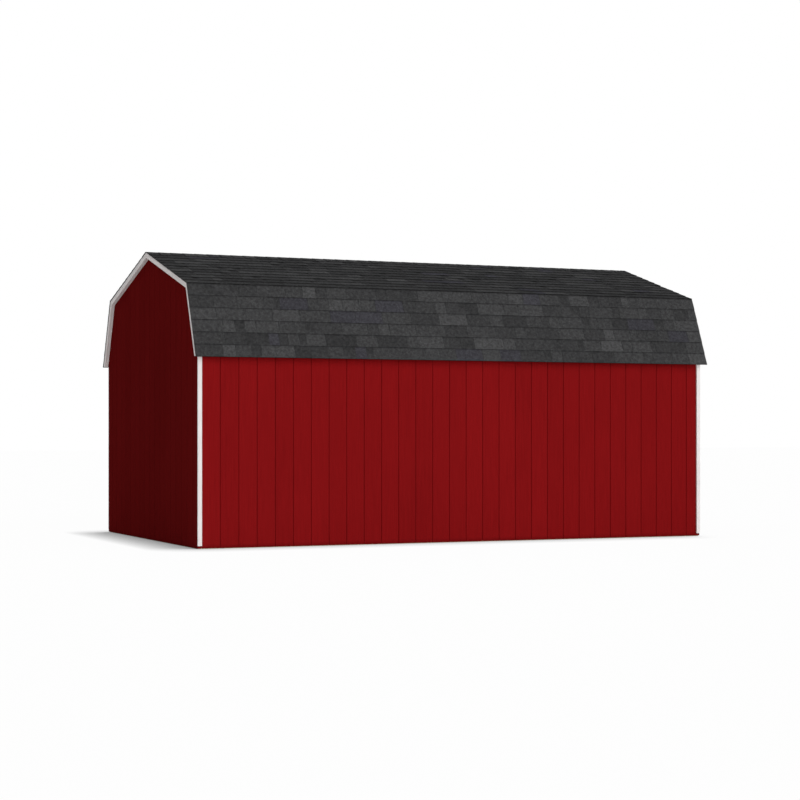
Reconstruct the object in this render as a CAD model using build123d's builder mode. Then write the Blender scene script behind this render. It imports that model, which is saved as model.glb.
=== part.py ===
from build123d import *
import os
from math import cos, radians, sin, tan

# Gambrel barn, 20 ft long, with its ridge along X and its front long wall facing -Y.
# The origin is on the ground, under the middle of the floor. All lengths are in millimetres.

# Footprint over the wall framing
frame_length = 6096
frame_width = 3556

# Sawn timber
plank = 38
stud_depth = 89
stud_spacing = 610
joist_depth = 140
joist_spacing = 406
rafter_depth = 89
rafter_spacing = 610
ridge_plank = 25

# Sheets
floor_sheet = 18
siding_sheet = 11
roof_sheet = 11
soffit_sheet = 12

# Grooves that divide the siding into upright boards
groove_pitch = 203.2
groove_width = 10
groove_depth = 5
groove_draft = 65
groove_start = 35
groove_seat = (Align.CENTER, Align.MIN)
siding_lift = 6

# Roof lines, taken on the upper face of the roof sheets
eave_height = 2005
eave_reach = 97
lower_slope = 841
lower_pitch = 67.4
upper_pitch = 16.3
rafter_seat = 44

# Shingle courses, thick at the butt edge and thin where the next course covers them
course = 140
shingle_butt = 9
shingle_lay = 4
shingle_drip = 8
rake_drip = 6
cap_reach = 150
cap_sheet = 5

# White trim
corner_width = 46
corner_thickness = 18
corner_lift = 31
barge_thickness = 25
rake_width = 57
rake_thickness = 16
mitre_gap = 2

# Places that follow from the sizes above
half_length = frame_length / 2
half_width = frame_width / 2
floor_top = joist_depth + floor_sheet
wall_middle = half_width - stud_depth / 2
siding_face = half_width + siding_sheet
gable_face = half_length + siding_sheet
soffit_top = eave_height + soffit_sheet
barge_face = gable_face + barge_thickness

# Roof angles: the fold is how far a layer's mitred end leads or trails per unit of height
upper = radians(upper_pitch)
lower = radians(lower_pitch)
fold = tan((lower - upper) / 2)
eave_out = half_width + eave_reach
knuckle_out = eave_out - lower_slope * cos(lower)
knuckle_height = eave_height + lower_slope * sin(lower)
upper_slope = knuckle_out / cos(upper)
ridge_height = knuckle_height + knuckle_out * tan(upper)
rafter_under = -(roof_sheet + rafter_depth)

os.makedirs("parts", exist_ok=True)


def on_lower(along, above):
    """Distance out and height of a point on the lower slope, measured up from the eave."""
    out = eave_out - along * cos(lower) + above * sin(lower)
    return out, eave_height + along * sin(lower) + above * cos(lower)


def on_upper(along, above):
    """Distance out and height of a point on the upper slope, measured up from the knuckle."""
    out = knuckle_out - along * cos(upper) + above * sin(upper)
    return out, knuckle_height + along * sin(upper) + above * cos(upper)


def knuckle(above):
    """Where the two slopes of one roof layer meet."""
    return on_upper(-above * fold, above)


def upper_at(out, above):
    """The point of an upper slope layer at this distance out from the ridge."""
    return out, ridge_height + above / cos(upper) - out * tan(upper)


def lower_at(height, above):
    """The point of a lower slope layer at this height."""
    return eave_out + above / sin(lower) - (height - eave_height) / tan(lower), height


def lower_beside(out, above):
    """The point of a lower slope layer at this distance out from the ridge."""
    return out, eave_height + (eave_out + above / sin(lower) - out) * tan(lower)


def on_side(side, points):
    """An outline drawn for the back, moved to the side of the ridge that carries it."""
    return [(side * out, height) for out, height in points]


def places(first, last, spacing):
    """Even places from first to last, about one spacing apart."""
    count = max(1, round((last - first) / spacing))
    return [first + (last - first) * i / count for i in range(count + 1)]


def from_gable(end, inner, thickness):
    """Where a layer on a gable end starts along X, for the left end or the right one."""
    return min(end * inner, end * (inner + thickness))


def write_bars(name, points, starts, length):
    """Bars of one outline across the building, each running along X from its start."""
    with BuildPart() as bars:
        with BuildSketch(*[Plane.YZ.offset(start) for start in starts]):
            with BuildLine():
                Polyline(*points, close=True)
            make_face()
        extrude(amount=length)
    bars.part.label = name
    export_step(bars.part, f"parts/{name}.step")


def courses(first, last):
    """Upper face of overlapping courses between two distances up a slope."""
    count = max(1, round((last - first) / course))
    step = (last - first) / count
    points = []
    for i in range(count):
        points.append((first + i * step, shingle_butt))
        points.append((first + (i + 1) * step, shingle_lay))
    return points


# Floor: a ladder of joists between two rims, and the sheets that cover it
joist_places = places(-half_length + plank / 2, half_length - plank / 2, joist_spacing)
with BuildPart() as floor_frame:
    with BuildSketch():
        with Locations((0, -half_width + plank / 2), (0, half_width - plank / 2)):
            Rectangle(frame_length, plank)
        with Locations(*[(x, 0) for x in joist_places]):
            Rectangle(plank, frame_width)
    extrude(amount=joist_depth)
floor_frame.part.label = "floor_frame"
export_step(floor_frame.part, "parts/floor_frame.step")

with BuildPart() as floor_deck:
    with BuildSketch(Plane.XY.offset(joist_depth)):
        Rectangle(frame_length, frame_width)
    extrude(amount=floor_sheet)
floor_deck.part.label = "floor_deck"
export_step(floor_deck.part, "parts/floor_deck.step")

# Long walls: studs between a sole plate and a doubled top plate that the rafters sit on
plate_height = lower_beside(half_width - rafter_seat, rafter_under)[1]
stud_places = places(-half_length + plank / 2, half_length - plank / 2, stud_spacing)
for side, wall in ((-1, "front"), (1, "back")):
    with BuildPart() as wall_frame:
        with BuildSketch(Plane.XY.offset(floor_top)):
            with Locations((0, side * wall_middle)):
                Rectangle(frame_length, stud_depth)
        extrude(amount=plank)
        with BuildSketch(Plane.XY.offset(floor_top + plank)):
            with Locations(*[(x, side * wall_middle) for x in stud_places]):
                Rectangle(plank, stud_depth)
        extrude(amount=plate_height - floor_top - 3 * plank)
        with BuildSketch(Plane.XY.offset(plate_height - 2 * plank)):
            with Locations((0, side * wall_middle)):
                Rectangle(frame_length, stud_depth)
        extrude(amount=2 * plank)
    wall_frame.part.label = f"{wall}_wall_frame"
    export_step(wall_frame.part, f"parts/{wall}_wall_frame.step")

# Gable walls: studs from the sole plate up to the end rafters, tied by a rail at plate height
gable_half = half_width - stud_depth
gable_stud_places = places(-gable_half + plank / 2, gable_half - plank / 2, stud_spacing)
stud_limit = [
    (gable_half, floor_top),
    lower_beside(gable_half, rafter_under),
    knuckle(rafter_under),
    upper_at(ridge_plank / 2, rafter_under),
]
for end, gable in ((-1, "left"), (1, "right")):
    with BuildPart() as gable_frame:
        with BuildSketch(Plane.YZ.offset(from_gable(end, half_length - stud_depth, stud_depth))):
            with Locations(*[(y, (floor_top + ridge_height) / 2) for y in gable_stud_places]):
                Rectangle(plank, ridge_height - floor_top)
            with Locations((0, floor_top + plank / 2), (0, plate_height - plank / 2)):
                Rectangle(2 * gable_half, plank)
            with BuildLine():
                Polyline(*stud_limit, *reversed(on_side(-1, stud_limit)), close=True)
            make_face(mode=Mode.INTERSECT)
        extrude(amount=stud_depth)
    gable_frame.part.label = f"{gable}_gable_frame"
    export_step(gable_frame.part, f"parts/{gable}_gable_frame.step")

# Long wall siding: grooved sheets from just off the ground up to the eave soffit
groove_places = [groove_start - half_length]
while groove_places[-1] + groove_pitch < half_length - groove_width:
    groove_places.append(groove_places[-1] + groove_pitch)
for side, wall in ((-1, "front"), (1, "back")):
    with BuildPart() as siding:
        with BuildSketch(Plane.XY.offset(siding_lift)):
            with Locations((0, side * (half_width + siding_sheet / 2))):
                Rectangle(frame_length, siding_sheet)
            inward = 90 * (1 + side)
            with Locations(*[Location((x, side * siding_face), inward) for x in groove_places]):
                Trapezoid(groove_width, groove_depth, groove_draft, align=groove_seat, mode=Mode.SUBTRACT)
        extrude(amount=soffit_top - siding_lift)
    siding.part.label = f"{wall}_siding"
    export_step(siding.part, f"parts/{wall}_siding.step")

# Gable siding: the same grooved sheets, trimmed under the roof sheets, with an ear that closes
# the end of each eave
gable_grooves = int((siding_face - groove_width) / groove_pitch)
gable_groove_places = [i * groove_pitch for i in range(-gable_grooves, gable_grooves + 1)]
gable_edge = [
    (siding_face, 0),
    (siding_face, eave_height),
    lower_at(eave_height, -roof_sheet),
    knuckle(-roof_sheet),
]
gable_outline = [*gable_edge, upper_at(0, -roof_sheet), *reversed(on_side(-1, gable_edge))]
for end, gable in ((-1, "left"), (1, "right")):
    with BuildPart() as siding:
        with BuildSketch(Plane.XY.offset(siding_lift)):
            with Locations((end * (half_length + siding_sheet / 2), 0)):
                Rectangle(siding_sheet, 2 * eave_out)
            with Locations(*[Location((end * gable_face, y), 90 * end) for y in gable_groove_places]):
                Trapezoid(groove_width, groove_depth, groove_draft, align=groove_seat, mode=Mode.SUBTRACT)
        extrude(amount=ridge_height - siding_lift)
        with BuildSketch(Plane.YZ):
            with BuildLine():
                Polyline(*gable_outline, close=True)
            make_face()
        extrude(amount=gable_face, both=True, mode=Mode.INTERSECT)
    siding.part.label = f"{gable}_gable_siding"
    export_step(siding.part, f"parts/{gable}_gable_siding.step")

# Corner boards: nailed to the long walls, covering the edge of the gable siding
for side, wall in ((-1, "front"), (1, "back")):
    for end, gable in ((-1, "left"), (1, "right")):
        board_place = (end * (gable_face - corner_width / 2), side * (siding_face + corner_thickness / 2))
        with BuildPart() as corner_board:
            with BuildSketch(Plane.XY.offset(corner_lift)):
                with Locations(board_place):
                    Rectangle(corner_width, corner_thickness)
            extrude(amount=eave_height - corner_lift)
        corner_board.part.label = f"{wall}_{gable}_corner_board"
        export_step(corner_board.part, f"parts/{wall}_{gable}_corner_board.step")

# Rafters: mitred at the knuckle, butted on a ridge board, and notched over the wall plates
rafter_starts = places(-half_length, half_length - plank, rafter_spacing)
ridge_head = upper_at(ridge_plank / 2, -roof_sheet)
ridge_foot = upper_at(ridge_plank / 2, rafter_under)
upper_rafter = [ridge_head, knuckle(-roof_sheet), knuckle(rafter_under), ridge_foot]
lower_rafter = [
    knuckle(-roof_sheet),
    knuckle(rafter_under),
    lower_at(plate_height, rafter_under),
    (half_width, plate_height),
    (half_width, soffit_top),
    lower_at(soffit_top, -roof_sheet),
]
for side, wall in ((-1, "front"), (1, "back")):
    write_bars(f"{wall}_upper_rafters", on_side(side, upper_rafter), rafter_starts, plank)
    write_bars(f"{wall}_lower_rafters", on_side(side, lower_rafter), rafter_starts, plank)
ridge_board = [ridge_head, ridge_foot, *on_side(-1, [ridge_foot, ridge_head])]
write_bars("ridge_board", ridge_board, [-half_length], frame_length)

# Eave soffits: level boards between the siding and the roof sheets, from ear to ear
eave_soffit = [
    (siding_face, eave_height),
    lower_at(eave_height, -roof_sheet),
    lower_at(soffit_top, -roof_sheet),
    (siding_face, soffit_top),
]
for side, wall in ((-1, "front"), (1, "back")):
    write_bars(f"{wall}_eave_soffit", on_side(side, eave_soffit), [-half_length], frame_length)

# Barge boards: on the gable siding, under the edge of the roof sheets and as low as the rakes
barge_top = -roof_sheet
barge_foot = -rake_width
upper_barge = [
    upper_at(mitre_gap / 2, barge_top),
    on_upper(mitre_gap - barge_top * fold, barge_top),
    on_upper(mitre_gap - barge_foot * fold, barge_foot),
    upper_at(mitre_gap / 2, barge_foot),
]
lower_barge = [
    knuckle(barge_top),
    knuckle(barge_foot),
    lower_at(eave_height, barge_foot),
    lower_at(eave_height, barge_top),
]
for end, gable in ((-1, "left"), (1, "right")):
    with BuildPart() as barge:
        with BuildSketch(Plane.YZ.offset(from_gable(end, gable_face, barge_thickness))):
            for side in (-1, 1):
                for outline in (upper_barge, lower_barge):
                    with BuildLine():
                        Polyline(*on_side(side, outline), close=True)
                    make_face()
        extrude(amount=barge_thickness)
    barge.part.label = f"{gable}_barge"
    export_step(barge.part, f"parts/{gable}_barge.step")

# Rake boards: mitred on the barge boards, covering the edge of the roof sheets
upper_rake = [upper_at(0, 0), knuckle(0), knuckle(-rake_width), upper_at(0, -rake_width)]
lower_rake = [
    knuckle(0),
    knuckle(-rake_width),
    lower_at(eave_height, -rake_width),
    lower_at(eave_height, 0),
]
for end, gable in ((-1, "left"), (1, "right")):
    rake_start = from_gable(end, barge_face, rake_thickness)
    for side, wall in ((-1, "front"), (1, "back")):
        upper_name = f"{gable}_{wall}_upper_rake"
        lower_name = f"{gable}_{wall}_lower_rake"
        write_bars(upper_name, on_side(side, upper_rake), [rake_start], rake_thickness)
        write_bars(lower_name, on_side(side, lower_rake), [rake_start], rake_thickness)

# Roof sheets and the shingle courses on them, which overhang the eave and the rakes
upper_sheet = [upper_at(0, 0), knuckle(0), knuckle(-roof_sheet), upper_at(0, -roof_sheet)]
lower_sheet = [
    knuckle(0),
    lower_at(eave_height, 0),
    lower_at(eave_height, -roof_sheet),
    knuckle(-roof_sheet),
]
cap_start = upper_slope - cap_reach
lower_courses = [
    (-shingle_drip, 0),
    *courses(-shingle_drip, lower_slope + shingle_lay * fold),
    (lower_slope, 0),
]
upper_courses = [
    (0, 0),
    *courses(-shingle_butt * fold, cap_start),
    (upper_slope + shingle_lay * tan(upper), shingle_lay),
    (upper_slope, 0),
]
lower_shingles = [on_lower(along, above) for along, above in lower_courses]
upper_shingles = [on_upper(along, above) for along, above in upper_courses]
shingle_half = barge_face + rake_thickness + rake_drip
for side, wall in ((-1, "front"), (1, "back")):
    write_bars(f"{wall}_upper_roof_sheet", on_side(side, upper_sheet), [-barge_face], 2 * barge_face)
    write_bars(f"{wall}_lower_roof_sheet", on_side(side, lower_sheet), [-barge_face], 2 * barge_face)
    write_bars(f"{wall}_upper_shingles", on_side(side, upper_shingles), [-shingle_half], 2 * shingle_half)
    write_bars(f"{wall}_lower_shingles", on_side(side, lower_shingles), [-shingle_half], 2 * shingle_half)

# Ridge cap: bent over the ridge on the last course of both slopes
cap_top = shingle_lay + cap_sheet
cap_edge = [on_upper(cap_start, shingle_lay), on_upper(cap_start, cap_top)]
cap_outline = [
    *cap_edge,
    upper_at(0, cap_top),
    *reversed(on_side(-1, cap_edge)),
    upper_at(0, shingle_lay),
]
write_bars("ridge_cap", cap_outline, [-shingle_half], 2 * shingle_half)
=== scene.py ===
import math
import random

import bmesh
import bpy
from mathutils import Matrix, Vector


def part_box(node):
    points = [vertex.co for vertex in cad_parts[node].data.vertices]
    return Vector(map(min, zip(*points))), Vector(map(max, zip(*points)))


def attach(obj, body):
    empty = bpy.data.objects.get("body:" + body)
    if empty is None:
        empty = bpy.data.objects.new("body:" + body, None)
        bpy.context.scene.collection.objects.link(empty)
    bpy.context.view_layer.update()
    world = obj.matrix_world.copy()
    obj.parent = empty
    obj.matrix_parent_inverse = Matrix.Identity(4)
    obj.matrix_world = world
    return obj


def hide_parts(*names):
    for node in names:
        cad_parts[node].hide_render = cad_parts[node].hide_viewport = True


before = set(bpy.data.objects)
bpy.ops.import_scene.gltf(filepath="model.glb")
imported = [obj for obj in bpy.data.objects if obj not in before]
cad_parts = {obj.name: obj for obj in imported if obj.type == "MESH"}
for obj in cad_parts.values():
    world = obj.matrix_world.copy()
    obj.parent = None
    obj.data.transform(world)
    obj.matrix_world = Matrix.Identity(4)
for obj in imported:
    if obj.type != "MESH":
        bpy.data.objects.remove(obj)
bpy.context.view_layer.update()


# Floor frame: two long rims and a row of joists, sawn pine set on edge straight on the ground.
# The joists butt against the rims and are nailed through them.
along_x, along_y, along_z = range(3)
timber_light = (0.62, 0.47, 0.30)
timber_ring = (0.45, 0.30, 0.165)
timber_knot = (0.20, 0.105, 0.05)
timber_roughness = (0.7, 0.9)
timber_gloss = 0.2
timber_relief = 0.0006
rings_across = 55.0
rings_along = 1.6
ring_detail = 4.0
ring_edge = (0.35, 0.65)
saw_marks = 420.0
knot_spread = 5.0
knot_edge = (0.06, 0.12)
usual_noise = (0.3, 0.7)  # Most values of a noise lie between these


def open_material(name):
    """A new material with its node tree and its surface shader."""
    material = bpy.data.materials.new(name)
    material.use_nodes = True
    tree = material.node_tree
    return material, tree, tree.nodes["Principled BSDF"]


def put(tree, kind, inputs=None, **settings):
    """One shader node, with its settings and with values or links on its inputs."""
    node = tree.nodes.new("ShaderNode" + kind)
    for setting, value in settings.items():
        setattr(node, setting, value)
    for socket, value in (inputs or {}).items():
        if isinstance(value, bpy.types.NodeSocket):
            tree.links.new(value, node.inputs[socket])
        else:
            node.inputs[socket].default_value = value
    return node


def calc(tree, operation, first, second=0.0):
    """The result of a sum on two values."""
    return put(tree, "Math", {0: first, 1: second}, operation=operation).outputs[0]


def blend(tree, share, first, second, mode="MIX"):
    """Two colours mixed by a share; colours are written as red, green and blue."""
    first, second = [(*c, 1.0) if isinstance(c, tuple) else c for c in (first, second)]
    # This node keeps its colour sockets behind those for plain values and for vectors
    mix = put(tree, "Mix", {0: share, 6: first, 7: second}, data_type="RGBA", blend_type=mode)
    return mix.outputs[2]


def between(tree, value, low, high, start=0.0, end=1.0):
    """A value that runs from start to end while another runs from low to high."""
    numbers = {"Value": value, "From Min": low, "From Max": high, "To Min": start, "To Max": end}
    return put(tree, "MapRange", numbers).outputs["Result"]


def stretched(tree, scale):
    """The place on the object, in metres, times a scale along each axis."""
    place = put(tree, "TexCoord").outputs["Object"]
    return put(tree, "Mapping", {"Vector": place, "Scale": scale}).outputs["Vector"]


def noise(tree, place, detail=2.0):
    """A soft random value at each place, with more or less detail in it."""
    return put(tree, "TexNoise", {"Vector": place, "Scale": 1.0, "Detail": detail}).outputs["Fac"]


def cells(tree, scale):
    """Irregular cells, so many to the metre, each with a colour and the distance from its middle."""
    return put(tree, "TexVoronoi", {"Vector": stretched(tree, scale), "Scale": 1.0}).outputs


def wire(tree, shader, colour, roughness, relief, depth, gloss):
    """Joins a colour, a roughness and a relief of some depth in metres to the shader, with a gloss."""
    bump = put(tree, "Bump", {"Strength": 1.0, "Distance": depth, "Height": relief})
    tree.links.new(colour, shader.inputs["Base Color"])
    tree.links.new(roughness, shader.inputs["Roughness"])
    tree.links.new(bump.outputs["Normal"], shader.inputs["Normal"])
    shader.inputs["Specular IOR Level"].default_value = gloss


def sawn_timber(name, along):
    """Pale pine, with growth rings drawn out along one axis, a few knots and the saw's fine marks."""
    material, tree, shader = open_material(name)
    scale = [rings_across] * 3
    scale[along] = rings_along
    rings = noise(tree, stretched(tree, scale), ring_detail)
    marks = noise(tree, stretched(tree, [saw_marks] * 3))
    spots = cells(tree, [knot_spread] * 3)
    wood = blend(tree, between(tree, rings, *ring_edge), timber_light, timber_ring)
    knots = between(tree, spots["Distance"], *knot_edge, 1.0, 0.0)
    colour = blend(tree, knots, wood, timber_knot)
    roughness = between(tree, marks, *usual_noise, *timber_roughness)
    relief = calc(tree, "ADD", rings, marks)
    wire(tree, shader, colour, roughness, relief, timber_relief, timber_gloss)
    return material


def dress(material, *names):
    """Gives plain nodes of the frame their finish."""
    for name in names:
        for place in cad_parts[name].material_slots:
            place.material = material


joist_timber = sawn_timber("joist_timber", along_y)
dress(joist_timber, "floor_frame")


# Floor deck: strand board sheets laid across the joists and nailed down.
# Long wood strands are pressed flat in resin, so every strand shows its own tone.
strand_pale = (0.62, 0.44, 0.25)
strand_brown = (0.50, 0.33, 0.17)
strand_dark = (0.36, 0.22, 0.10)
strand_roughness = (0.65, 0.85)
strand_gloss = 0.25
strand_relief = 0.0009
strand_across = 85.0
strand_along = 14.0
lay_edge = (0.47, 0.53)
pale_share = 0.6


def strand_board(name):
    """Two crossing lays of pressed wood strands."""
    material, tree, shader = open_material(name)
    tones = []
    for along, across in ((strand_along, strand_across), (strand_across, strand_along)):
        strands = cells(tree, (along, across, strand_across))
        tones.append(put(tree, "SeparateColor", {"Color": strands["Color"]}).outputs["Red"])
    lay = noise(tree, stretched(tree, [strand_along] * 3))
    crossed = between(tree, lay, *lay_edge, *tones)
    pale = blend(tree, between(tree, crossed, 0.0, pale_share), strand_pale, strand_brown)
    colour = blend(tree, between(tree, crossed, pale_share, 1.0), pale, strand_dark)
    roughness = between(tree, crossed, 0.0, 1.0, *strand_roughness)
    wire(tree, shader, colour, roughness, crossed, strand_relief, strand_gloss)
    return material


pressed_strands = strand_board("pressed_strands")
dress(pressed_strands, "floor_deck")


# Wall frames, gable frames, rafters and ridge board: sawn pine, nailed up before the sheets go on.
# Studs stand on a sole plate; rafters are notched over the top plate and butt on the ridge board.
# Each wall and gable is named here, with the side of the barn's middle that it stands on.
walls = {"front": -1, "back": 1}
gables = {"left": -1, "right": 1}
stud_timber = sawn_timber("stud_timber", along_z)
rafter_timber = sawn_timber("rafter_timber", along_y)
ridge_timber = sawn_timber("ridge_timber", along_x)
for wall in walls:
    dress(stud_timber, f"{wall}_wall_frame")
    dress(rafter_timber, f"{wall}_upper_rafters", f"{wall}_lower_rafters")
for gable in gables:
    dress(stud_timber, f"{gable}_gable_frame")
dress(ridge_timber, "ridge_board")


# Siding: upright sheets with a grooved, rough-sawn face, nailed to the studs and painted barn red.
# The grooves divide each sheet into boards, and every board takes the paint a little differently.
# The gable ends take darker reds as painted shade, and the foot of every sheet is painted darker.
groove_pitch = 0.2032
groove_start = 0.035
# Painted shade in the grooves: full within the first distance of a groove's middle, gone at the second,
# and how strong it is
groove_shade_edge = (0.0020, 0.0085)
groove_shade_share = 0.42
# The darker foot of each sheet: its height and how dark it goes
dark_foot_height = 0.045
dark_foot_share = 0.85
gable_groove = 0.0
# Each set of reds: paint laid thick, paint faded by the sun, and the darker red of the painted groove
# shade and darker foot
wall_reds = ((0.188, 0.0054, 0.0064), (0.285, 0.0086, 0.0099), (0.139, 0.0038, 0.0046))
# Gable reds: darker than the wall reds, as painted shade on the gable ends
gable_shade_reds = ((0.114, 0.0050, 0.0052), (0.168, 0.0078, 0.0081), (0.106, 0.0046, 0.0048))
board_fade = 0.14
patch_fade = 0.20
grain_fade = 0.40
fade_patches = (1.4, 1.4, 0.7)
grain_across = 150.0
grain_along = 3.2
fibre_across = 900.0
fibre_along = 26.0
fibre_share = 0.35
grain_detail = 5.0
grain_relief = 0.0011
paint_roughness = (0.58, 0.78)
paint_gloss = 0.0


def barn_red(name, across, first_groove, reds):
    """Red paint on upright rough-sawn boards that follow each other along one axis. The reds are
    the paint where it lies thick, where the sun has faded it, and a darker red for the painted
    shade in the grooves and for the darker foot."""
    deep, faded, groove_shade_and_foot_red = reds
    material, tree, shader = open_material(name)
    place = put(tree, "SeparateXYZ", {"Vector": put(tree, "TexCoord").outputs["Object"]}).outputs
    boards = calc(tree, "DIVIDE", calc(tree, "SUBTRACT", place[across], first_groove), groove_pitch)
    number = calc(tree, "FLOOR", boards)
    board = put(tree, "TexWhiteNoise", {"W": number}, noise_dimensions="1D").outputs["Value"]
    off_middle = calc(tree, "ABSOLUTE", calc(tree, "SUBTRACT", calc(tree, "FRACT", boards), 0.5))
    to_groove = calc(tree, "MULTIPLY", calc(tree, "SUBTRACT", 0.5, off_middle), groove_pitch)
    grains = []
    for wide, long in ((grain_across, grain_along), (fibre_across, fibre_along)):
        sawn = {
            "X": calc(tree, "MULTIPLY", place[across], wide),
            "Y": calc(tree, "MULTIPLY", place[along_z], long),
            "Z": calc(tree, "MULTIPLY", board, wide),
        }
        streaks = put(tree, "CombineXYZ", sawn).outputs["Vector"]
        grains.append(noise(tree, streaks, grain_detail))
    grain, fibre = grains
    patches = noise(tree, stretched(tree, fade_patches))
    by_board = calc(tree, "MULTIPLY", board, board_fade)
    by_patch = between(tree, patches, *usual_noise, 0.0, patch_fade)
    by_grain = between(tree, grain, *usual_noise, 0.0, grain_fade)
    fade = calc(tree, "ADD", calc(tree, "ADD", by_board, by_patch), by_grain)
    paint = blend(tree, fade, deep, faded)
    # Painted shade that darkens each groove towards its middle
    groove_shade_mask = between(tree, to_groove, *groove_shade_edge, groove_shade_share, 0.0)
    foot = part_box("front_siding")[0].z
    # The foot of each sheet is darker, fading out over the band's height
    at_foot = between(tree, place[along_z], foot, foot + dark_foot_height, dark_foot_share, 0.0)
    colour = blend(tree, calc(tree, "MAXIMUM", groove_shade_mask, at_foot), paint, groove_shade_and_foot_red)
    roughness = between(tree, fibre, *usual_noise, *paint_roughness)
    relief = calc(tree, "ADD", grain, calc(tree, "MULTIPLY", fibre, fibre_share))
    wire(tree, shader, colour, roughness, relief, grain_relief, paint_gloss)
    return material


wall_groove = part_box("front_siding")[0].x + groove_start
long_wall_paint = barn_red("long_wall_paint", along_x, wall_groove, wall_reds)
# The gable ends take the darker reds, which are painted shade
shaded_gable_paint = barn_red("shaded_gable_paint", along_y, gable_groove, gable_shade_reds)
for wall in walls:
    dress(long_wall_paint, f"{wall}_siding")
for gable in gables:
    dress(shaded_gable_paint, f"{gable}_gable_siding")


# Siding nails: round galvanised heads driven through the sheets into the studs and painted over.
# They stand in upright rows, about a foot from one to the next, just proud of the boards.
head_radius = 0.0042
head_rise = 0.0009
head_rim_share = 0.4
head_crown_share = 0.6
head_sides = 10
nail_spacing = 0.30
nail_margin = 0.09
wall_bays = 10
gable_bays = 6
gable_inset = 0.12


def set_piece(name, mesh, material, slot, *stands_for):
    """Puts a finished mesh in the frame, in place of the plain nodes that it stands for."""
    piece = bpy.data.objects.new(name, mesh)
    bpy.context.scene.collection.objects.link(piece)
    mesh.materials.append(material)
    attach(piece, "root")
    if stands_for:
        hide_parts(*stands_for)


def nail_heads(name, spots, facing):
    """Many low domed heads in one mesh, all facing the same way, each sunk at its rim."""
    facing = Vector(facing)
    aside = facing.orthogonal().normalized()
    upright = facing.cross(aside)
    rings = (
        (head_radius, -head_rise),
        (head_radius, head_rim_share * head_rise),
        (head_crown_share * head_radius, head_rise),
    )
    points, faces = [], []
    for spot in spots:
        first = len(points)
        for radius, rise in rings:
            for i in range(head_sides):
                turn = 2 * math.pi * i / head_sides
                round_point = aside * (radius * math.cos(turn)) + upright * (radius * math.sin(turn))
                points.append(Vector(spot) + round_point + facing * rise)
        for ring in range(len(rings) - 1):
            near = first + ring * head_sides
            for i in range(head_sides):
                j = (i + 1) % head_sides
                faces.append((near + i, near + j, near + head_sides + j, near + head_sides + i))
        faces.append(tuple(first + i for i in reversed(range(head_sides))))
        faces.append(tuple(first + (len(rings) - 1) * head_sides + i for i in range(head_sides)))
    mesh = bpy.data.meshes.new(name)
    mesh.from_pydata(points, [], faces)
    return mesh


def even(first, last, spacing):
    """Even places from first to last, about one spacing apart."""
    count = max(1, round((last - first) / spacing))
    return [first + (last - first) * i / count for i in range(count + 1)]


# The roof sheets in outline: each point is a distance out from the ridge, and a height
eave = (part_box("back_lower_roof_sheet")[1].y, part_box("back_lower_roof_sheet")[0].z)
knuckle = (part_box("back_upper_roof_sheet")[1].y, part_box("back_lower_roof_sheet")[1].z)
ridge = (0.0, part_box("back_upper_roof_sheet")[1].z)


def roof_height(out):
    """Height of the roof sheets at this distance out from the ridge."""
    foot, head = (eave, knuckle) if out > knuckle[0] else (knuckle, ridge)
    return foot[1] + (head[1] - foot[1]) * (foot[0] - out) / (foot[0] - head[0])


for wall, side in walls.items():
    low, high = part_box(f"{wall}_siding")
    rows = [low.x + (high.x - low.x) * i / wall_bays for i in range(1, wall_bays)]
    heights = even(low.z + nail_margin, high.z - nail_margin, nail_spacing)
    face = low.y if side < 0 else high.y
    spots = [(x, face, z) for x in rows for z in heights]
    mesh = nail_heads(f"{wall}_siding_nails", spots, (0, side, 0))
    set_piece(f"{wall}_siding_nails", mesh, long_wall_paint, "siding_red")
for gable, end in gables.items():
    low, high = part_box(f"{gable}_gable_siding")
    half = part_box("back_siding")[1].y - gable_inset
    face = low.x if end < 0 else high.x
    spots = []
    for i in range(gable_bays + 1):
        y = half * (2 * i / gable_bays - 1)
        top = roof_height(abs(y)) - 2 * nail_margin
        spots += [(face, y, z) for z in even(low.z + nail_margin, top, nail_spacing)]
    mesh = nail_heads(f"{gable}_gable_nails", spots, (end, 0, 0))
    set_piece(f"{gable}_gable_nails", mesh, shaded_gable_paint, "siding_red")


# Corner boards: planed boards with eased edges, painted white and face nailed over the corner,
# where they cover the raw edge of the gable sheets. They stop short of the ground.
trim_bright = (0.90, 0.855, 0.845)
trim_dull = (0.80, 0.75, 0.74)
trim_wear = (0.12, 0.42)
trim_roughness = (0.42, 0.6)
trim_gloss = 0.08
trim_relief = 0.0004
brush_across = 260.0
brush_along = 7.0
brush_detail = 3.0
wear_patches = 6.0
wear_detail = 4.0
trim_ease = 0.0022
ease_steps = 2
ease_roundness = 0.5
weld_distance = 1e-5
flat_angle = math.radians(1.0)
trim_nail_spacing = 0.42


def white_trim(name, along, turn=0.0):
    """White paint brushed along a planed board, with faint grain under it. The turn lifts the
    brush strokes out of the level, for a board that climbs."""
    material, tree, shader = open_material(name)
    stroke = [1 / brush_across] * 3
    stroke[along] = 1 / brush_along
    place = put(tree, "TexCoord").outputs["Object"]
    brushing = {"Vector": place, "Rotation": (turn, 0.0, 0.0), "Scale": stroke}
    brushed = put(tree, "Mapping", brushing, vector_type="TEXTURE").outputs["Vector"]
    strokes = noise(tree, brushed, brush_detail)
    patches = noise(tree, stretched(tree, [wear_patches] * 3), wear_detail)
    wear = calc(tree, "MULTIPLY", strokes, patches)
    colour = blend(tree, between(tree, wear, *trim_wear), trim_bright, trim_dull)
    roughness = between(tree, patches, *usual_noise, *trim_roughness)
    wire(tree, shader, colour, roughness, strokes, trim_relief, trim_gloss)
    return material


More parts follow.
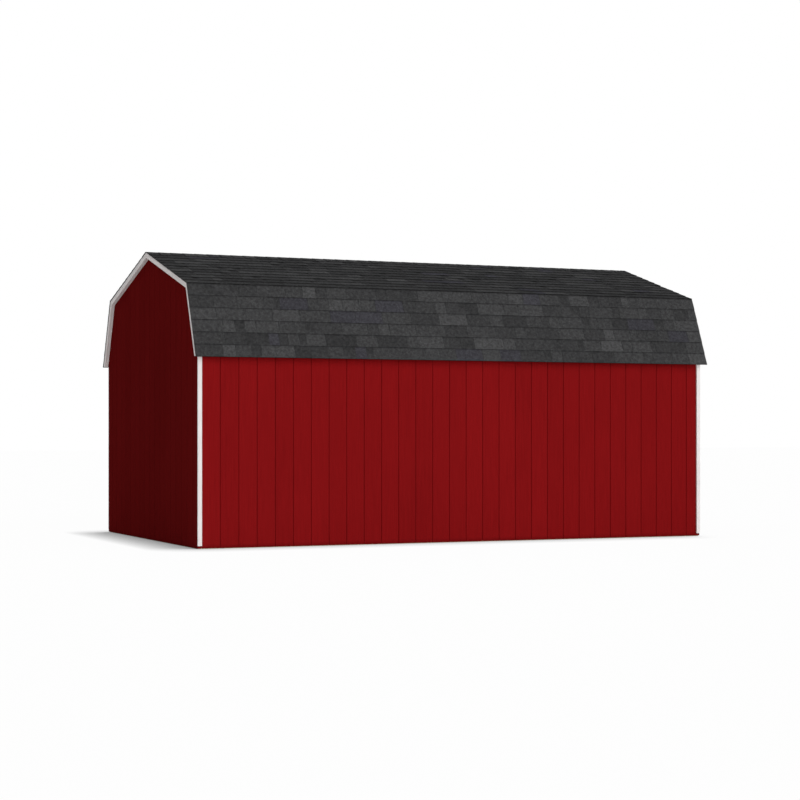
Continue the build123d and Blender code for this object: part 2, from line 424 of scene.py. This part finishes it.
def eased_copy(node):
    """A board's own shape with its edges rounded over, as planing and paint leave them."""
    shape = bmesh.new()
    shape.from_mesh(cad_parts[node].data)
    bmesh.ops.remove_doubles(shape, verts=shape.verts, dist=weld_distance)
    bmesh.ops.dissolve_limit(shape, angle_limit=flat_angle, verts=shape.verts, edges=shape.edges)
    rounding = {"segments": ease_steps, "profile": ease_roundness, "affect": "EDGES"}
    bmesh.ops.bevel(shape, geom=shape.edges[:], offset=trim_ease, **rounding)
    bmesh.ops.recalc_face_normals(shape, faces=shape.faces)
    mesh = bpy.data.meshes.new(node)
    shape.to_mesh(mesh)
    shape.free()
    return mesh


upright_trim = white_trim("upright_trim", along_z)
for wall, side in walls.items():
    spots = []
    for gable in gables:
        node = f"{wall}_{gable}_corner_board"
        set_piece(f"{node}_painted", eased_copy(node), upright_trim, "trim_white", node)
        low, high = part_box(node)
        face = low.y if side < 0 else high.y
        heights = even(low.z + nail_margin, high.z - nail_margin, trim_nail_spacing)
        spots += [((low.x + high.x) / 2, face, z) for z in heights]
    mesh = nail_heads(f"{wall}_corner_nails", spots, (0, side, 0))
    set_piece(f"{wall}_corner_nails", mesh, upright_trim, "trim_white")


# Eave soffits and barge boards: white painted pieces that close the roof's overhang from below.
# The soffits run level along the eaves, and the barges carry the rake boards off the gable siding.
level_trim = white_trim("level_trim", along_x)
sloping_trim = white_trim("sloping_trim", along_y)
for wall in walls:
    dress(level_trim, f"{wall}_eave_soffit")
for gable in gables:
    dress(sloping_trim, f"{gable}_barge")


# Rake boards: white boards along the gable edge of the roof, mitred at the ridge and at the break
# between the slopes, and nailed to the barge boards so that they hide the edge of the roof sheets.
rake_width = 0.057
rake_nail_margin = 0.08
slopes = {"lower": (eave, knuckle), "upper": (knuckle, ridge)}


def climb(foot, head):
    """How steeply a slope rises, as an angle off the level."""
    return math.atan2(head[1] - foot[1], foot[0] - head[0])


def on_slope(foot, head, along, above):
    """Distance out and height of a point on a slope, measured up from its foot and off its sheets."""
    run = math.dist(foot, head)
    inward = (head[0] - foot[0]) / run
    rise = (head[1] - foot[1]) / run
    return foot[0] + along * inward + above * rise, foot[1] + along * rise - above * inward


rake_paint = {}
for wall, side in walls.items():
    for slope, (foot, head) in slopes.items():
        turn = -side * climb(foot, head)
        rake_paint[wall, slope] = white_trim(f"{wall}_{slope}_rake_paint", along_y, turn)
for gable, end in gables.items():
    spots = []
    for wall, side in walls.items():
        for slope, (foot, head) in slopes.items():
            node = f"{gable}_{wall}_{slope}_rake"
            set_piece(f"{node}_painted", eased_copy(node), rake_paint[wall, slope], "trim_white", node)
            low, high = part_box(node)
            face = low.x if end < 0 else high.x
            last_nail = math.dist(foot, head) - rake_nail_margin
            for along in even(rake_nail_margin, last_nail, trim_nail_spacing):
                out, height = on_slope(foot, head, along, -rake_width / 2)
                spots.append((face, side * out, height))
    mesh = nail_heads(f"{gable}_rake_nails", spots, (end, 0, 0))
    set_piece(f"{gable}_rake_nails", mesh, sloping_trim, "trim_white")


# Roof sheets: strand board nailed to the rafters, which carries the shingles.
# Its edges are covered by the rake boards, and it shows only at the eaves from below.
for wall in walls:
    dress(pressed_strands, f"{wall}_upper_roof_sheet", f"{wall}_lower_roof_sheet")


# Shingles: laminated asphalt strips in courses, a starter strip first, each strip a metre long.
# A thin backing carries raised tabs of uneven width, all faced with mineral granules and nailed.
# A pair of heights off the roof sheets gives a piece's under and upper face.
course_height = 0.140
starter = (0.0002, 0.0038)
backing_butt = (0.0040, 0.0065)
backing_head = (0.0002, 0.0015)
tab_butt = (0.0065, 0.0090)
tab_head = (0.0015, 0.0040)
strip_length = 1.0
strip_gap = 0.0004
strip_start_shares = (0.1, 0.9)
tab_widths = (0.085, 0.36)
tab_gap = 0.0008
tab_taper = 0.007
slot_widths = (0.05, 0.14)
slot_odds = 0.22
butt_wander = 0.0016
tuck = 0.030
drip = 0.008
granule_tones = (
    ((0.048, 0.048, 0.049), 7),
    ((0.055, 0.055, 0.056), 4),
    ((0.061, 0.061, 0.062), 2),
    ((0.042, 0.042, 0.043), 4),
    ((0.049, 0.048, 0.055), 1),
)
tone_spread = 0.12
backing_tone = (0.047, 0.047, 0.048)
cut_tone = (0.007, 0.007, 0.007)
end_tone = (0.045, 0.045, 0.046)
# Painted shadow under the next row's butt: the band at a tab's or cap's head, and how dark it goes
butt_shadow_band = 0.020
open_shade = 1.0
butt_shadow_share = 0.50
# Painted shade on the backing: it darkens up to its head, where it shows in the slots between tabs
slot_painted_shade = 0.74
granule_size = 0.0022
granule_relief = 0.0007
granule_range = (0.55, 1.45)
granule_roughness = (0.82, 0.98)
granule_gloss = 0.0
drift_patches = 34.0
drift_detail = 4.0
drift_range = (0.74, 1.26)


def granule_felt(name):
    """Asphalt felt faced with mineral granules, tinted piece by piece, with painted shade in the tint."""
    material, tree, shader = open_material(name)
    tone = put(tree, "VertexColor", layer_name="tone").outputs["Color"]
    grit = cells(tree, [1 / granule_size] * 3)
    speck = put(tree, "SeparateColor", {"Color": grit["Color"]}).outputs["Red"]
    drift = noise(tree, stretched(tree, [drift_patches] * 3), drift_detail)
    by_speck = between(tree, speck, 0.0, 1.0, *granule_range)
    by_drift = between(tree, drift, *usual_noise, *drift_range)
    grain = calc(tree, "MULTIPLY", by_speck, by_drift)
    grey = put(tree, "CombineColor", {"Red": grain, "Green": grain, "Blue": grain}).outputs["Color"]
    colour = blend(tree, 1.0, tone, grey, "MULTIPLY")
    roughness = between(tree, speck, 0.0, 1.0, *granule_roughness)
    relief = calc(tree, "SUBTRACT", 1.0, grit["Distance"])
    wire(tree, shader, colour, roughness, relief, granule_relief, granule_gloss)
    return material


def shaded(tone, share):
    """A colour made darker or lighter by a share."""
    return tuple(part * share for part in tone)


def pick_tone(chance):
    """A granule tone for one tab, a little lighter or darker than its kind."""
    tones, weights = zip(*granule_tones)
    return shaded(chance.choices(tones, weights)[0], 1 + chance.uniform(-tone_spread, tone_spread))


def part_way(start, end, share):
    """Values that lie a share of the way from the start ones to the end ones."""
    return [a + (b - a) * share for a, b in zip(start, end)]


def start_roofing(seed, **place):
    """An empty run of roofing, with its own random draws and the place where it is laid."""
    return {"chance": random.Random(seed), "points": [], "faces": [], "tones": [], **place}


def lay_piece(roof, stations, tone, side_tone):
    """One closed piece, drawn through a ring of points at each station: its under face from left to
    right, then back along its upper face. Each station also gives its painted shade on the granules."""
    rings, shades = zip(*stations)
    around = len(rings[0])
    half = around // 2
    first = len(roof["points"])
    last = first + around * (len(rings) - 1)
    for ring in rings:
        roof["points"] += ring
    for start in (first, last):
        for i in range(half - 1):
            under = start + i
            over = start + around - 1 - i
            roof["faces"].append((under, under + 1, over - 1, over))
            roof["tones"] += [cut_tone] * 4
    for i in range(len(rings) - 1):
        near = first + around * i
        far = near + around
        corner_shades = (shades[i], shades[i], shades[i + 1], shades[i + 1])
        granules = [shaded(tone, shade) for shade in corner_shades]
        under_tones = [[cut_tone] * 4] * (half - 1)
        upper_tones = [granules] * (half - 1)
        side_tones = [[side_tone] * 4]
        for j, tones in enumerate(under_tones + side_tones + upper_tones + side_tones):
            k = (j + 1) % around
            roof["faces"].append((near + j, near + k, far + k, far + j))
            roof["tones"] += tones


def finish_roofing(name, roof):
    """One mesh from all the laid pieces, each piece closed and tinted."""
    mesh = bpy.data.meshes.new(name)
    mesh.from_pydata(roof["points"], [], roof["faces"])
    tint = mesh.color_attributes.new("tone", "FLOAT_COLOR", "CORNER")
    tint.data.foreach_set("color", [part for tone in roof["tones"] for part in (*tone, 1.0)])
    shape = bmesh.new()
    shape.from_mesh(mesh)
    bmesh.ops.recalc_face_normals(shape, faces=shape.faces)
    shape.to_mesh(mesh)
    shape.free()
    return mesh


def slope_ring(roof, along, ends, faces):
    """Section of a strip or tab, some way up its slope, between its two ends and its two faces."""
    left, right = ends
    under, over = faces
    ring = []
    for x, above in ((left, under), (right, under), (right, over), (left, over)):
        out, height = on_slope(*roof["slope"], along, above)
        ring.append((x, roof["side"] * out, height))
    return ring


roofing = granule_felt("roofing")
shingle_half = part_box("ridge_cap")[1].x
cap_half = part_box("ridge_cap")[1].y
lower_run = math.dist(eave, knuckle)
upper_run = math.dist(knuckle, ridge)
mitre = math.tan((climb(eave, knuckle) - climb(knuckle, ridge)) / 2)
course_ends = {
    "lower": (-drip, lower_run + tab_head[1] * mitre),
    "upper": (-tab_butt[1] * mitre, upper_run - cap_half * upper_run / knuckle[0]),
}


def lay_strips(roof, foot, head, reach, butt, top):
    """A row of metre-long backing strips, butted with narrow gaps, that reach on under the next row."""
    left = -shingle_half - roof["chance"].uniform(*strip_start_shares) * strip_length
    while left < shingle_half:
        ends = max(left, -shingle_half), min(left + strip_length - strip_gap, shingle_half)
        if ends[1] - ends[0] > strip_gap:
            # The backing darkens up to its head with painted shade
            stations = [
                (slope_ring(roof, foot, ends, butt), open_shade),
                (slope_ring(roof, head, ends, top), slot_painted_shade),
            ]
            if reach:
                stations.append((slope_ring(roof, head + reach, ends, top), slot_painted_shade))
            lay_piece(roof, stations, backing_tone, end_tone)
        left += strip_length


def lay_tabs(roof, foot, head, reach):
    """A row of raised tabs, with open slots between some of them, that reach on under the next row."""
    chance = roof["chance"]
    # Painted shadow over the band at the tab's head, under the next row's butt
    band = head - butt_shadow_band
    band_share = (band - foot) / (head - foot)
    tuck_share = (head + reach - foot) / (head - foot)
    band_faces = part_way(tab_butt, tab_head, band_share)
    tuck_faces = part_way(tab_butt, tab_head, tuck_share)
    left = -shingle_half
    while left < shingle_half:
        right = min(left + chance.uniform(*tab_widths), shingle_half)
        if shingle_half - right < tab_widths[0]:
            right = shingle_half
        lean_left = 0.0 if left == -shingle_half else chance.uniform(0.0, tab_taper)
        lean_right = 0.0 if right == shingle_half else chance.uniform(0.0, tab_taper)
        butt = foot + chance.uniform(0.0, butt_wander)
        band_ends = left + lean_left * band_share, right - lean_right * band_share
        tuck_ends = left + lean_left, right - lean_right
        stations = [
            (slope_ring(roof, butt, (left, right), tab_butt), open_shade),
            (slope_ring(roof, band, band_ends, band_faces), open_shade),
            (slope_ring(roof, head + reach, tuck_ends, tuck_faces), butt_shadow_share),
        ]
        lay_piece(roof, stations, pick_tone(chance), end_tone)
        left = right + tab_gap
        if chance.random() < slot_odds:
            left += chance.uniform(*slot_widths)


for wall, side in walls.items():
    for slope, (first, last) in course_ends.items():
        roof = start_roofing(f"{wall} {slope}", side=side, slope=slopes[slope])
        count = round((last - first) / course_height)
        step = (last - first) / count
        starter_foot = first if slope == "lower" else -starter[1] * mitre
        lay_strips(roof, starter_foot, first + step, 0.0, starter, starter)
        for i in range(count):
            foot = first + i * step
            reach = 0.0 if slope == "lower" and i == count - 1 else tuck
            lay_strips(roof, foot, foot + step, reach, backing_butt, backing_head)
            lay_tabs(roof, foot, foot + step, reach)
        node = f"{wall}_{slope}_shingles"
        mesh = finish_roofing(node, roof)
        set_piece(f"{wall}_{slope}_courses", mesh, roofing, "shingle_charcoal", node)


# Ridge cap: single tabs cut from the same shingles, bent over the ridge and nailed one over the next.
# They start at the left gable, so each one covers the head of the tab before it.
cap_reveal = 0.143
cap_tuck = 0.024
cap_butt = (0.0069, 0.0090)
cap_head = (0.0046, 0.0068)
cap_tail = (0.0044, 0.0060)
cap_fold_shares = (-1.0, -0.5, -0.02, 0.02, 0.5, 1.0)


def cap_ring(x, faces):
    """Section of a bent cap, some way along the ridge: its under face, then back along its upper face."""
    lines = []
    for above in faces:
        line = []
        for share in cap_fold_shares:
            along = upper_run * (1 - abs(share) * cap_half / knuckle[0])
            out, height = on_slope(*slopes["upper"], along, above)
            line.append((x, math.copysign(out, share), height))
        lines.append(line)
    return lines[0] + lines[1][::-1]


roof = start_roofing("ridge")
left = -shingle_half
while left < shingle_half - strip_gap:
    right = min(left + cap_reveal, shingle_half)
    tail = min(right + cap_tuck, shingle_half)
    # Painted shadow over the band at the cap's head, under the next cap
    band = right - butt_shadow_band
    band_faces = part_way(cap_butt, cap_head, (band - left) / cap_reveal)
    stations = [
        (cap_ring(left, cap_butt), open_shade),
        (cap_ring(band, band_faces), open_shade),
        (cap_ring(right, cap_head), butt_shadow_share),
    ]
    if tail > right:
        stations.append((cap_ring(tail, cap_tail), butt_shadow_share))
    lay_piece(roof, stations, pick_tone(roof["chance"]), cut_tone)
    left = right
mesh = finish_roofing("ridge_cap_tabs", roof)
set_piece("ridge_cap_tabs", mesh, roofing, "shingle_charcoal", "ridge_cap")


# Studio floor: a wide, plain white floor that the barn stands on.
# It is white to the camera, and keeps the soft dark of the barn standing on it.
floor_reach = 90.0
floor_white = (0.80, 0.80, 0.80, 1.0)
plain_share = 0.97
contact_reach = 0.56
contact_toward = (0.84, 0.0, 0.54)
contact_samples = 16


def seen_directly(tree):
    """One for what the camera sees, straight or in a gloss, and nothing for light that falls on things."""
    rays = put(tree, "LightPath").outputs
    mirrored = calc(tree, "MAXIMUM", rays["Is Glossy Ray"], rays["Is Transmission Ray"])
    return calc(tree, "MAXIMUM", rays["Is Camera Ray"], mirrored)


material, tree, shader = open_material("studio_floor")
shader.inputs["Base Color"].default_value = floor_white
shader.inputs["Roughness"].default_value = 1.0
shader.inputs["Specular IOR Level"].default_value = 0.0
toward_light = put(tree, "CombineXYZ", dict(zip("XYZ", contact_toward))).outputs["Vector"]
contact_rays = {"Distance": contact_reach, "Normal": toward_light}
contact = put(tree, "AmbientOcclusion", contact_rays, samples=contact_samples).outputs["Color"]
plain = put(tree, "Emission", {"Color": contact, "Strength": 1.0}).outputs["Emission"]
share = calc(tree, "MULTIPLY", seen_directly(tree), plain_share)
mixed = put(tree, "MixShader", {0: share, 1: shader.outputs["BSDF"], 2: plain}).outputs["Shader"]
tree.links.new(mixed, tree.nodes["Material Output"].inputs["Surface"])
corners = [(x * floor_reach, y * floor_reach, 0.0) for x, y in ((-1, -1), (1, -1), (1, 1), (-1, 1))]
mesh = bpy.data.meshes.new("studio_floor")
mesh.from_pydata(corners, [], [(0, 1, 2, 3)])
mesh.materials.append(material)
floor = bpy.data.objects.new("studio_floor", mesh)
bpy.context.scene.collection.objects.link(floor)


# Studio light: pale air all round, a broad soft lamp low in front on the right, and a weaker one
# high up behind. The air is white where the camera looks past the barn.
air_white = (1.0, 1.0, 1.0, 1.0)
air_strength = 0.25
lamp_spread = 70.0
lamps = {
    "key_lamp": (2.61, (0.30, -0.93, 0.22)),
    "top_lamp": (1.0, (-0.10, 0.45, 0.89)),
}
world = bpy.data.worlds.new("studio_air")
bpy.context.scene.world = world
world.use_nodes = True
tree = world.node_tree
air = tree.nodes["Background"]
air.inputs["Color"].default_value = air_white
strength = between(tree, seen_directly(tree), 0.0, 1.0, air_strength, 1.0)
tree.links.new(strength, air.inputs["Strength"])
for name, (strength, toward) in lamps.items():
    lamp = bpy.data.lights.new(name, "SUN")
    lamp.energy = strength
    lamp.angle = math.radians(lamp_spread)
    stand = bpy.data.objects.new(name, lamp)
    stand.rotation_euler = Vector(toward).to_track_quat("Z", "Y").to_euler()
    bpy.context.scene.collection.objects.link(stand)


# Camera: at chest height, off the front left corner, held level so that uprights stay upright.
# Its long lens is raised a little on its mount, which lifts the view without tipping it.
lens_length = 84.18
lens_rise = 0.0371
sensor_width = 36.0
camera_place = (-8.9057, -20.4440, 1.2414)
camera_level = math.radians(90.0)
camera_turn = math.radians(-23.5842)
lens = bpy.data.cameras.new("camera")
lens.lens = lens_length
lens.shift_y = lens_rise
lens.sensor_width = sensor_width
camera = bpy.data.objects.new("camera", lens)
camera.location = camera_place
camera.rotation_euler = (camera_level, 0.0, camera_turn)
bpy.context.scene.collection.objects.link(camera)
bpy.context.scene.camera = camera
bpy.context.scene.view_settings.view_transform = "Standard"
